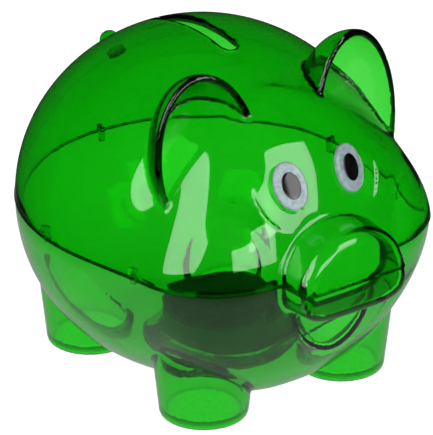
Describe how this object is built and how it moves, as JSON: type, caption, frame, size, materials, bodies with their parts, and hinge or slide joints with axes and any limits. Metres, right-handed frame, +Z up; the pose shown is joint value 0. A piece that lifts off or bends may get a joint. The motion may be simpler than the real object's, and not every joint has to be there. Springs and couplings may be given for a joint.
{
  "type": "transparent piggy bank",
  "caption": "Clear green plastic money pig: two half shells with ears, snout, hollow legs and a coin slot along the back, oval eyes, and a black push-in stopper in the belly.",
  "frame": {"origin": "on the floor under the middle of the object: x on the plane of symmetry, y midway between the snout's face and the rear of the body, z at the feet", "axes": "the pig faces -Y, +X is its left side, +Z is up"},
  "size_m": [0.1014, 0.12, 0.0981],
  "materials": {
    "clear_green_plastic": "transparent green polystyrene, polished",
    "black_stopper_plastic": "soft black plastic, satin",
    "eye_white_plastic": "bluish white plastic, satin",
    "pupil_black_plastic": "black plastic, polished"
  },
  "bodies": {
    "bank": {"upper_shell": "clear_green_plastic", "lower_shell": "clear_green_plastic", "eye_white_right": "eye_white_plastic", "eye_white_left": "eye_white_plastic", "eye_pupil_right": "pupil_black_plastic", "eye_pupil_left": "pupil_black_plastic"},
    "stopper": {"belly_plug": "black_stopper_plastic"}
  },
  "joints": [
    {"name": "stopper_pull", "type": "slide", "parent": "bank", "child": "stopper", "axis": [0, 0, -1], "range_m": [0, 0.02]}
  ]
}
